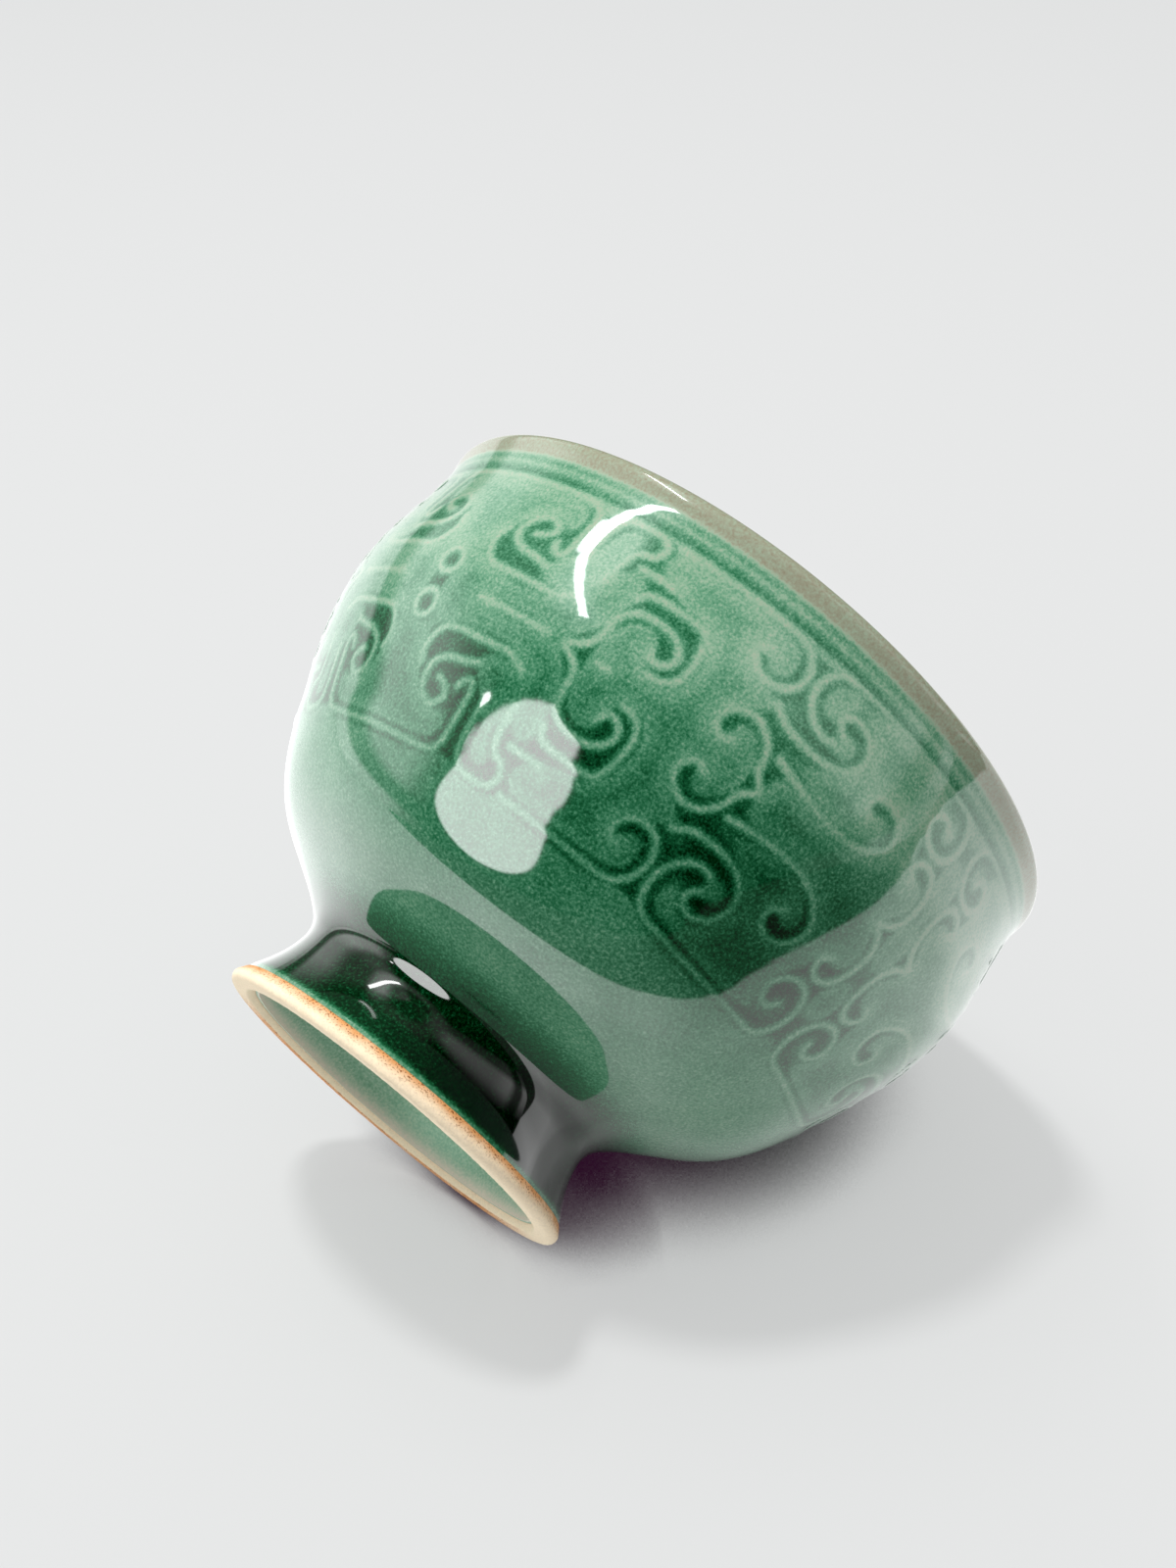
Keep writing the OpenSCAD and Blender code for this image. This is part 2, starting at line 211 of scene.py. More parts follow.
def linear(code):
    """An sRGB hex colour as linear red, green and blue."""
    parts = [int(code[i:i + 2], 16) / 255 for i in (1, 3, 5)]
    return tuple(c / 12.92 if c <= 0.04045 else ((c + 0.055) / 1.055) ** 2.4 for c in parts)


def colour_setting(name, description, code):
    """A colour that a user can change, from its hex code."""
    return bpy.props.FloatVectorProperty(
        name=name, description=description, default=linear(code), size=3, min=0, max=1, subtype="COLOR")


def length_setting(name, description, size):
    """A length that a user can change, from its size in millimetres."""
    return bpy.props.FloatProperty(
        name=name, description=description, default=size * MM, min=0, unit="LENGTH", subtype="DISTANCE")


def angle_setting(name, description, degrees):
    """An angle that a user can change."""
    return bpy.props.FloatProperty(
        name=name, description=description, default=math.radians(degrees), unit="ROTATION", subtype="ANGLE")


class CupGlazeSettings(bpy.types.PropertyGroup):
    """Depths of the glaze and the colours that they give."""

    clay: colour_setting("Clay", "Colour of the clay under the glaze", "#f0d6c8")
    tint: colour_setting("Tint", "White seen through half a millimetre of glaze", "#2e7f5e")
    plain: length_setting("Plain wall", "Depth of glaze on the plain wall", 0.31)
    ground: length_setting("Ground", "Depth of glaze on the ground of the scroll band", 0.34)
    pool: length_setting("Pool", "Depth of glaze between two close lines", 0.64)
    crest: length_setting("Crest", "Depth of glaze on a raised line", 0.155)
    lip: length_setting("Lip", "Depth of glaze on the lip", 0.08)


class CupReliefSettings(bpy.types.PropertyGroup):
    """Sizes of the raised scroll lines."""

    height: length_setting("Line height", "Height of a raised line over its low body", 0.09)
    width: length_setting("Line width", "Width of a raised line at half its height", 0.824)
    body: length_setting("Body height", "Height of the low body beside the lines", 0.05)


class CupFootSettings(bpy.types.PropertyGroup):
    """Colours and grain of the bare foot ring."""

    clay: colour_setting("Bare clay", "Colour of the bare fired clay", "#fdebcc")
    flash: colour_setting("Flashing", "Colour of the clay next to the glaze edge", "#dd9c60")
    grain: length_setting("Grain", "Size of the grit in the bare clay", 0.25)


class CupStageSettings(bpy.types.PropertyGroup):
    """Floor, light and camera."""

    floor: colour_setting("Floor", "Colour of the studio floor", "#eaebeb")
    lie: angle_setting("Lie", "Side on which the cup lies, turned from the front", 143.5)
    roll: angle_setting("Roll", "Roll of the camera about its own axis", 40.27)
    ambient: bpy.props.FloatProperty(
        name="Ambient", description="Level of the light from all sides",
        default=0.62, min=0, subtype="FACTOR")


def merged(node):
    """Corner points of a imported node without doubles, and the edges between them."""
    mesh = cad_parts[node].data
    points = np.array([v.co for v in mesh.vertices])
    places, index = np.unique(points.round(7), axis=0, return_inverse=True)
    index = index.ravel()
    pairs = {tuple(sorted((int(index[a]), int(index[b])))) for a, b in (e.vertices for e in mesh.edges)}
    return places / MM, sorted(p for p in pairs if p[0] != p[1])


def chains(edges):
    """Edges joined end to end into runs of point numbers."""
    beside = {}
    for a, b in edges:
        beside.setdefault(a, []).append(b)
        beside.setdefault(b, []).append(a)
    left = set(beside)
    runs = []
    for start in sorted(beside, key=lambda p: (len(beside[p]), p)):
        if start not in left:
            continue
        run = [start]
        left.discard(start)
        while True:
            onward = [p for p in beside[run[-1]] if p in left]
            if not onward:
                break
            run.append(onward[0])
            left.discard(onward[0])
        runs.append(run)
    return runs


def section(node):
    """Outline of a node at one side of its axis, as radius and height in order."""
    points, edges = merged(node)
    flat = (np.abs(points[:, 1]) < 1e-3) & (points[:, 0] > -1e-3)
    run = max(chains([e for e in edges if flat[e[0]] and flat[e[1]]]), key=len)
    return points[run][:, [0, 2]]


def face_of(node, start, end):
    """Glazed face of a node's outline, from one corner to another.

    Points inside a straight stretch are left out, so that a curve runs through the rest.
    """
    outline = section(node)
    first, last = (int(np.argmax(outline @ np.array(corner))) for corner in (start, end))
    turned = np.roll(outline, -first, axis=0)
    stop = (last - first) % len(outline)
    onward = turned[:stop + 1]
    backward = np.roll(turned[::-1], 1, axis=0)[:len(outline) - stop + 1]
    face = min(onward, backward, key=len)
    before, after = face[1:-1] - face[:-2], face[2:] - face[1:-1]
    bend = before[:, 0] * after[:, 1] - before[:, 1] * after[:, 0]
    bend = np.abs(bend) / (np.linalg.norm(before, axis=1) * np.linalg.norm(after, axis=1))
    return face[np.concatenate([[True], bend > 1e-4, [True]])]


def ways(points):
    """Way along a run of points, at each of them."""
    return np.concatenate([[0.0], np.cumsum(np.hypot(*np.diff(points, axis=0).T))])


def spline(points):
    """Smooth curve through points: its knots, and place and direction along it."""
    knots = ways(points)
    steps = np.diff(knots)
    count = len(points)
    system, wanted = np.eye(count), np.zeros((count, 2))
    slopes = np.diff(points, axis=0) / steps[:, None]
    for i in range(1, count - 1):
        system[i, i - 1:i + 2] = steps[i - 1], 2 * (steps[i - 1] + steps[i]), steps[i]
        wanted[i] = 6 * (slopes[i] - slopes[i - 1])
    bend = np.linalg.solve(system, wanted)

    def at(s):
        i = np.clip(np.searchsorted(knots, s, "right") - 1, 0, count - 2)
        h, a, b = steps[i][:, None], (knots[i + 1] - s)[:, None], (s - knots[i])[:, None]
        low, high = points[i] / h - bend[i] * h / 6, points[i + 1] / h - bend[i + 1] * h / 6
        place = (bend[i] * a ** 3 + bend[i + 1] * b ** 3) / (6 * h) + low * a + high * b
        slope = (bend[i + 1] * b ** 2 - bend[i] * a ** 2) / (2 * h) + high - low
        return place, slope / np.linalg.norm(slope, axis=1)[:, None]

    return knots, at


def ease(low, high, value):
    """Smooth step from 0 at low to 1 at high."""
    t = np.clip((value - low) / (high - low), 0, 1)
    return t * t * (3 - 2 * t)


def mix(first, second, share):
    """Value at a share of the way from one to another."""
    return first * (1 - share) + second * share


def around(radius, height, angle):
    """Points at angles from the front, -Y, turned towards +X."""
    radius, height, angle = np.broadcast_arrays(radius, height, angle)
    return np.stack([radius * np.sin(angle), -radius * np.cos(angle), height], axis=-1)


def grid_normals(grid, wrap_rows=False):
    """Normals of a grid of points that closes around its columns."""
    across = np.roll(grid, -1, axis=1) - np.roll(grid, 1, axis=1)
    if wrap_rows:
        along = np.roll(grid, -1, axis=0) - np.roll(grid, 1, axis=0)
    else:
        along = np.gradient(grid, axis=0)
    normals = np.cross(across, along)
    return normals / np.maximum(np.linalg.norm(normals, axis=-1, keepdims=True), 1e-12)


def hump(middle, half, value):
    """Rounded hump, 1 in the middle and 0.37 at half its width from there."""
    return np.exp(-((value - middle) / half) ** 2)


def turns(columns):
    """Angles of columns around the axis."""
    return np.arange(columns) * 2 * np.pi / columns


def all_round(quarter):
    """A quarter repeated around the cup, with every other one mirrored."""
    return np.concatenate([quarter[:, :-1], quarter[:, :0:-1]] * 2, axis=1)


class Skin:
    """Points, normals and glaze depths of the cup's outside, lip and inside, in mm."""

    def __init__(self, plain, ground, pool, crest, lip, height, width, body):
        outer = face_of("outer_glaze", LOW_OUT, HIGH_OUT)
        over = face_of("lip_glaze", LOW_OUT, LOW_IN)
        inner = face_of("inner_glaze", HIGH_IN, AT_AXIS)
        points = np.concatenate([outer, over[1:], inner[1:]])
        points[-1, 0] = PINHOLE
        knots, curve = spline(points)
        self.lip_start, self.lip_end = knots[len(outer) - 1], knots[len(outer) + len(over) - 2]
        self.dense = np.linspace(0, self.lip_start, 2000)
        self.dense_radius, self.dense_height = curve(self.dense)[0].T
        panel, _ = merged("scroll_panel_front")
        border, _ = merged("border_line")
        self.border = self.along(border[:, 2].min() / 2 + border[:, 2].max() / 2)
        low, high = self.along(panel[:, 2].min() - BAND_BELOW), self.along(panel[:, 2].max() + BAND_ABOVE)
        starts = [0, low, high, self.lip_start, self.lip_end, knots[-1]]
        rows, self.bands = [0.0], {}
        for (band, step), start, end in zip(BANDS.items(), starts, starts[1:]):
            first = len(rows) - 1
            rows += list(np.linspace(start, end, max(2, round((end - start) / step)) + 1)[1:])
            self.bands[band] = first, len(rows) - 1
        self.rows = np.array(rows)
        place, direction = curve(self.rows)
        self.radius, self.height = place.T
        self.out = np.stack([direction[:, 1], -direction[:, 0]], axis=1)
        turn, distance, count = self.ornament()
        self.angles = turn + turns(COLUMNS)
        shares = self.shares(distance, count, width)
        depth = self.depths(shares, plain, ground, pool, crest, lip)
        lift = all_round(self.lifts(shares, height, body))
        self.depth = all_round(depth) * self.run()
        self.points = self.raised(lift)
        self.normals = grid_normals(self.raised(SHADED_RELIEF * lift))

    def along(self, z):
        """Way along the curve from the foot line to a height on the outside."""
        return np.interp(z, self.dense_height, self.dense)

    def raised(self, lift):
        """Points of the grid, moved out from the plain curve."""
        lift = np.broadcast_to(lift, (len(self.rows), COLUMNS))
        radius = self.radius[:, None] + lift * self.out[:, :1]
        return around(radius, self.height[:, None] + lift * self.out[:, 1:], self.angles[None, :])

    def ornament(self):
        """Start angle of a panel, the way to the scroll lines and the number of them nearby."""
        points, edges = merged("scroll_panel_front")
        radius = np.hypot(points[:, 0], points[:, 1])
        raised = radius - np.interp(points[:, 2], self.dense_height, self.dense_radius) > CREST_RISE
        angle = np.arctan2(points[:, 0], -points[:, 1])
        turn = angle[raised].min()
        flat = np.stack([(angle - turn) * LAYOUT_RADIUS, self.along(points[:, 2])], axis=1)
        lines = []
        for run in chains([e for e in edges if raised[e[0]] and raised[e[1]]]):
            knots, curve = spline(flat[run])
            lines.append(curve(np.linspace(0, knots[-1], max(3, round(knots[-1] / LINE_STEP))))[0])
        turned, way = np.concatenate(lines).T
        turned = turned / LAYOUT_RADIUS
        near, far = turned < NEXT_PANEL, turned > np.pi / 2 - NEXT_PANEL
        turned = np.concatenate([turned, -turned[near], np.pi - turned[far]])
        way = np.concatenate([way, way[near], way[far]])
        columns = np.linspace(0, np.pi / 2, QUARTER + 1)
        distance = np.full((len(self.rows), QUARTER + 1), NOWHERE)
        count = np.zeros_like(distance)
        per_point = LINE_STEP / (LINE_SPREAD * math.sqrt(2 * np.pi))
        for i, s in enumerate(self.rows):
            close = np.abs(way - s) < LINE_REACH
            if s > self.lip_start or not close.any():
                continue
            gap = (columns[:, None] - turned[None, close]) * self.radius[i]
            squared = gap ** 2 + (s - way[None, close]) ** 2
            distance[i] = np.sqrt(squared.min(axis=1))
            count[i] = np.exp(-squared / (2 * LINE_SPREAD ** 2)).sum(axis=1) * per_point
        return turn, distance, count

    def shares(self, distance, count, width):
        """Where lines, their low body, pools, the band and the border's lines are, from 0 to 1."""
        s = self.rows[:, None]
        line = hump(0, width / 2 / math.sqrt(math.log(2)), distance)
        body = 1 - ease(*BODY_EDGE, distance)
        pooled = ease(*CLOSE_LINES, count) * (1 - line)
        band = ease(*BAND_START, s - self.rows[self.bands["scroll"][0]])
        band = band * (1 - ease(*BAND_END, s - self.border))
        grooves = [hump(place, GROOVE_HALF, s - self.border) for place in GROOVES]
        return line, body, pooled, band, hump(self.border, BORDER_HALF, s), grooves

    def depths(self, shares, plain, ground, pool, crest, lip):
        """Depth of the glaze over one quarter."""
        line, body, pooled, band, border, grooves = shares
        s, z = self.rows[:, None], self.height[:, None]
        depth = mix(ground * mix(*BODY_SHARES, body), pool, pooled)
        depth = depth * mix(*THIN_SHARES, ease(*THIN_HEIGHTS, z))
        depth = mix(depth, crest, line * mix(*CREST_SHARES, ease(*CREST_HEIGHTS, z)))
        depth = mix(plain, depth, band)
        depth = mix(depth, STRIP_DEPTH, ease(*STRIP_START, s - self.border))
        groove = sum(share * place for share, place in zip(GROOVE_SHARES, grooves))
        depth = mix(depth, GROOVE_DEPTH * ground, groove)
        depth = mix(depth, BORDER_DEPTH, border * BORDER_SHARE)
        foot = FOOT_DEPTH * (1 - ease(*FOOT_HEIGHTS, z)) * ease(*FOOT_START, s)
        foot = foot + NECK_DEPTH * hump(NECK_HEIGHT, NECK_HALF, z) - EDGE_LOSS * (1 - ease(*EDGE_START, s))
        depth = depth + np.where(s <= self.lip_start, foot, 0)
        bare = ease(*LIP_START, s - self.lip_start) * (1 - ease(*LIP_END, s - self.lip_end))
        return mix(depth, lip, bare)

    def lifts(self, shares, height, body_height):
        """Height of the relief over one quarter, and the roll of the glaze's edge at the foot."""
        line, body, pooled, band, border, grooves = shares
        lift = (height * line + body_height * body - POOL_FALL * pooled) * band
        lift = lift + BORDER_RISE * border - GROOVE_FALL * grooves[0]
        roll = np.clip(self.rows[:, None] / EDGE_ROLL, 0, 1)
        return lift - COAT * (1 - np.sqrt(1 - (1 - roll) ** 2))

    def run(self):
        """Share by which the glaze is deeper in patches on the belly, and low on the foot's near right
        side, where the darker glaze is painted shade from the bowl.
        """
        turned = (self.angles + np.pi) % (2 * np.pi) - np.pi
        outside = self.rows < self.lip_start
        share = np.ones((len(self.rows), COLUMNS))
        for gain, height, tall, turn, wide in DARKER_PATCHES:
            drop = hump(height, tall, self.height) * outside
            share += gain * drop[:, None] * hump(turn, wide, turned)
        return share


@functools.lru_cache(maxsize=1)
def skin_for(*values):
    """The skin, made once for a set of values."""
    return Skin(*values)


def skin(scene):
    """The skin for the settings of a scene."""
    glaze, relief = scene.cup_glaze, scene.cup_relief
    lengths = (glaze.plain, glaze.ground, glaze.pool, glaze.crest, glaze.lip,
               relief.height, relief.width, relief.body)
    return skin_for(*(round(v / MM, 5) for v in lengths))


def belt_map(rows, across, faced, wrap):
    """Places of a belt's face corners on a flat map, most of it for the face."""
    rise = [np.linspace(0, MAP_FACE, faced), np.linspace(MAP_FACE, 1, rows - faced + 2)[1:]]
    u, v = np.meshgrid(np.arange(across + 1) / across * MAP_COLUMNS, np.concatenate(rise))
    spots = np.stack([u, v], axis=-1)
    corners = [spots[i:i + rows, j:j + across] for i, j in ((0, 0), (0, 1), (1, 1), (1, 0))]
    places = np.stack(corners, axis=2).reshape(-1, 2)
    if not wrap:
        ends = [np.stack([np.full(rows, end), v[:-1, 0]], axis=1) for end in MAP_ENDS]
        places = np.concatenate([places, *ends])
    return places


def belt_mesh(name, belt, normals, faced, wrap, depth):
    """Mesh of a belt of rows of points that closes from its last row to its first.

    The first rows are the face and take the given normals, the others are flat.
    """
    rows, columns = belt.shape[:2]
    ids = np.arange(rows * columns).reshape(rows, columns)
    onward = np.roll(ids, -1, axis=0)
    across = columns if wrap else columns - 1
    left, right = np.arange(across), (np.arange(across) + 1) % columns
    quads = np.stack([ids[:, left], ids[:, right], onward[:, right], onward[:, left]], axis=-1)
    quads = quads.reshape(-1, 4)
    faces = quads.tolist()
    if not wrap:
        faces += [ids[:, 0].tolist(), ids[::-1, -1].tolist()]
    mesh = bpy.data.meshes.new(name)
    mesh.from_pydata((belt.reshape(-1, 3) * MM).tolist(), [], faces)
    mesh.polygons.foreach_set("use_smooth", [True] * len(mesh.polygons))
    places = belt_map(rows, across, faced, wrap)
    mesh.uv_layers.new(name="OFBake").data.foreach_set("uv", places.ravel())
    mesh.attributes.new("glaze_depth", "FLOAT", "POINT").data.foreach_set("value", depth.ravel())
    mesh.update()
    flat = np.array([p.normal for p in mesh.polygons])
    loops = np.repeat(flat[:len(quads)], 4, axis=0)
    shown = (faced - 1) * across
    loops[:4 * shown] = normals.reshape(-1, 3)[quads[:shown].ravel()]
    if not wrap:
        loops = np.concatenate([loops, np.repeat(flat[len(quads):], rows, axis=0)])
    mesh.normals_split_custom_set(loops.tolist())
    return mesh


def placed(name, data):
    """A new object in the scene."""
    thing = bpy.data.objects.new(name, data)
    bpy.context.scene.collection.objects.link(thing)
    return thing


def place_piece(name, mesh, material, node):
    """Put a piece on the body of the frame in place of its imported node."""
    piece = placed(name, mesh)
    mesh.materials.append(material)
    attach(piece, "root")
    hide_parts(node)


def coat_piece(scene, name, band, node, finish="celadon_glaze_reduction_fired", quarter=None):
    """Cut a coat of glaze out of the skin and close it at the back."""
    grid = skin(scene)
    first, last = grid.bands[band]
    columns = np.arange(COLUMNS)
    if quarter is not None:
        columns = (np.arange(QUARTER + 1) + quarter * QUARTER) % COLUMNS
    way = grid.rows[last] - grid.rows[first]
    count = max(2, (last - first) // BACK_ROWS, round(way / BACK_STEP))
    behind = np.unique(np.linspace(last, first, count).round().astype(int))[::-1]
    shown = np.arange(first, last + 1)
    base = grid.raised(-COAT)[behind][:, columns]
    belt = np.concatenate([grid.points[shown][:, columns], base])
    normals = np.concatenate([grid.normals[shown][:, columns], base * 0])
    depth = grid.depth[np.concatenate([shown, behind])][:, columns]
    mesh = belt_mesh(name, belt, normals, len(shown), quarter is None, depth)
    place_piece(name, mesh, celadon_glaze(scene.cup_glaze, finish), node)


def add(tree, kind, inputs=None, **settings):
    """One node with its settings, values and links, where a node stands for its first output."""
    node = tree.nodes.new("ShaderNode" + kind)
    for key, value in settings.items():
        setattr(node, key, value)
    for socket, value in (inputs or {}).items():
        if isinstance(value, bpy.types.Node):
            value = value.outputs[0]
        if isinstance(value, bpy.types.NodeSocket):
            tree.links.new(value, node.inputs[socket])
        else:
            node.inputs[socket].default_value = value
    return node


def fill(ramp, stops):
    """Give a colour ramp its stops, which are places and colours in order."""
    elements = ramp.color_ramp.elements
    while len(elements) < len(stops):
        elements.new(1.0)
    for element, (place, colour) in zip(elements, stops):
        element.position = place
        element.color = (*colour, 1)


def per(size):
    """Scale of a pattern whose grains are this many millimetres wide."""
    return 1 / (size * MM)


def blank_material(name):
    """A material with an empty node tree, or the one already made."""
    material = bpy.data.materials.get(name) or bpy.data.materials.new(name)
    material.use_nodes = True
    material.node_tree.nodes.clear()
    return material


def elevations(low, high):
    """Range of the upward part of a direction, between two elevations in degrees."""
    return {"From Min": math.sin(math.radians(low)), "From Max": math.sin(math.radians(high))}


def celadon_glaze(settings, name, roughness=0.05, iron=IRON):
    """Iron glaze fired in reduction: green that darkens with its depth over pale clay."""
    material = blank_material(name)
    tree = material.node_tree
    place = add(tree, "TexCoord").outputs["Object"]
    depth = add(tree, "Attribute", attribute_name="glaze_depth").outputs["Fac"]
    # Bubbles and iron grains: a speckle that makes the glaze look deep, drawn coarse so that it shows.
    speckle = add(tree, "TexNoise", {
        "Vector": place, "Scale": per(0.28), "Detail": 2.0, "Roughness": 0.6})
    # Uneven dipping: soft clouds, some millimetres wide.
    cloud = add(tree, "TexNoise", {
        "Vector": place, "Scale": per(5), "Detail": 3.0, "Roughness": 0.5})
    # Both change the depth about its mean: the speckle by 90 percent at the most, the clouds by 25.
    speckle = add(tree, "Math", {0: speckle, 1: 1.8, 2: 0.1}, operation="MULTIPLY_ADD")
    cloud = add(tree, "Math", {0: cloud, 1: 0.5, 2: 0.75}, operation="MULTIPLY_ADD")
    for uneven in (speckle, cloud):
        depth = add(tree, "Math", {0: depth, 1: uneven}, operation="MULTIPLY")
    share = add(tree, "Math", {0: depth, 1: COLOUR_DEPTHS[-1]}, operation="DIVIDE")
    ramp = add(tree, "ValToRGB", {"Fac": share})
    fill(ramp, [(deep / COLOUR_DEPTHS[-1], [
        c * t ** (deep / TINT_DEPTH) * (1 - brown * hump(0, IRON_DEPTH, deep))
        for c, t, brown in zip(settings.clay, settings.tint, iron)]) for deep in COLOUR_DEPTHS])
    # Melted surface: long soft waves that bend the reflections a little.
    wave = add(tree, "TexNoise", {"Vector": place, "Scale": per(3), "Detail": 1.0})
    bump = add(tree, "Bump", {"Height": wave, "Strength": 0.5, "Distance": 0.01 * MM})
    surface = add(tree, "BsdfPrincipled", {
        "Base Color": ramp, "Roughness": roughness, "IOR": 1.6, "Normal": bump})
    add(tree, "OutputMaterial", {"Surface": surface})
    return material


def bare_stoneware(settings, name="stoneware_clay_bare_fired"):
    """Bare fired stoneware: cream with an iron flush by the glaze and dark grit."""
    material = blank_material(name)
    tree = material.node_tree
    place = add(tree, "TexCoord").outputs["Object"]
    flash = add(tree, "Attribute", attribute_name="glaze_depth").outputs["Fac"]
    # The flush ends in patches, a few millimetres wide.
    patch = add(tree, "TexNoise", {"Vector": place, "Scale": per(2.5), "Detail": 2.0})
    uneven = add(tree, "Math", {0: patch, 1: 1.6, 2: 0.2}, operation="MULTIPLY_ADD")
    reach = add(tree, "Math", {0: flash, 1: uneven}, operation="MULTIPLY", use_clamp=True)
    warm = add(tree, "Mix", {
        "Factor": reach, 6: (*settings.clay, 1), 7: (*settings.flash, 1)}, data_type="RGBA").outputs[2]
    # Iron specks that the kiln drew out beside the glaze.
    fine = add(tree, "TexNoise", {"Vector": place, "Scale": per(0.2), "Detail": 1.0})
    spot = add(tree, "MapRange", {
        "Value": fine, "From Min": 0.56, "From Max": 0.66, "To Min": 0.0, "To Max": 1.3})
    spot = add(tree, "Math", {0: spot, 1: reach}, operation="MULTIPLY", use_clamp=True)
    # A thin film of glaze along the inner edge, pale over the flush; on the land the same pale colour is a
    # painted highlight.
    film_and_highlight = add(tree, "MapRange", {"Value": flash, "From Min": 1.0, "From Max": 2.0})
    for cover, colour in ((spot, "#8a4d1c"), (film_and_highlight, "#d3d8cb")):
        warm = add(tree, "Mix", {
            "Factor": cover, 6: warm, 7: (*linear(colour), 1)}, data_type="RGBA").outputs[2]
    # Grit: fine grains, lighter and darker.
    grit = add(tree, "TexNoise", {
        "Vector": place, "Scale": 1 / settings.grain, "Detail": 3.0, "Roughness": 0.7})
    light = add(tree, "MapRange", {
        "Value": grit, "From Min": 0.25, "From Max": 0.75, "To Min": 0.86, "To Max": 1.08})
    colour = add(tree, "VectorMath", {0: warm, "Scale": light}, operation="SCALE")
    bump = add(tree, "Bump", {"Height": grit, "Strength": 0.6, "Distance": 0.03 * MM})
    surface = add(tree, "BsdfPrincipled", {
        "Base Color": colour, "Roughness": 0.8, "Normal": bump})
    add(tree, "OutputMaterial", {"Surface": surface})
    return material


class CUP_OT_lower_glaze(bpy.types.Operator):
    """Build the plain glaze of the foot and the lower bowl"""
    bl_idname = "cup.lower_glaze"
    bl_label = "Lower glaze"

    def execute(self, context):
        coat_piece(context.scene, "outer_glaze_lower", "lower", "outer_glaze")
        return {"FINISHED"}


class CUP_OT_scroll_band(bpy.types.Operator):
    """Build the four scroll panels of the band"""
    bl_idname = "cup.scroll_band"
    bl_label = "Scroll band"

    def execute(self, context):
        for quarter, panel in enumerate(PANELS):
            coat_piece(context.scene, f"scroll_glaze_{panel}", "scroll", f"scroll_panel_{panel}",
                       "celadon_glaze_over_relief", quarter)
        return {"FINISHED"}


class CUP_OT_border_band(bpy.types.Operator):
    """Build the border line under the lip"""
    bl_idname = "cup.border_band"
    bl_label = "Border line"

    def execute(self, context):
        coat_piece(context.scene, "border_band", "border", "border_line",
                   "celadon_glaze_over_relief")
        return {"FINISHED"}


class CUP_OT_lip(bpy.types.Operator):
    """Build the thin glaze over the lip"""
    bl_idname = "cup.lip"
    bl_label = "Lip"

    def execute(self, context):
        coat_piece(context.scene, "lip_glaze_band", "lip", "lip_glaze",
                   "celadon_glaze_thin_at_lip")
        return {"FINISHED"}


class CUP_OT_inner_glaze(bpy.types.Operator):
    """Build the glaze of the inside"""
    bl_idname = "cup.inner_glaze"
    bl_label = "Inner glaze"

    def execute(self, context):
        coat_piece(context.scene, "inner_glaze_bowl", "inner", "inner_glaze")
        return {"FINISHED"}


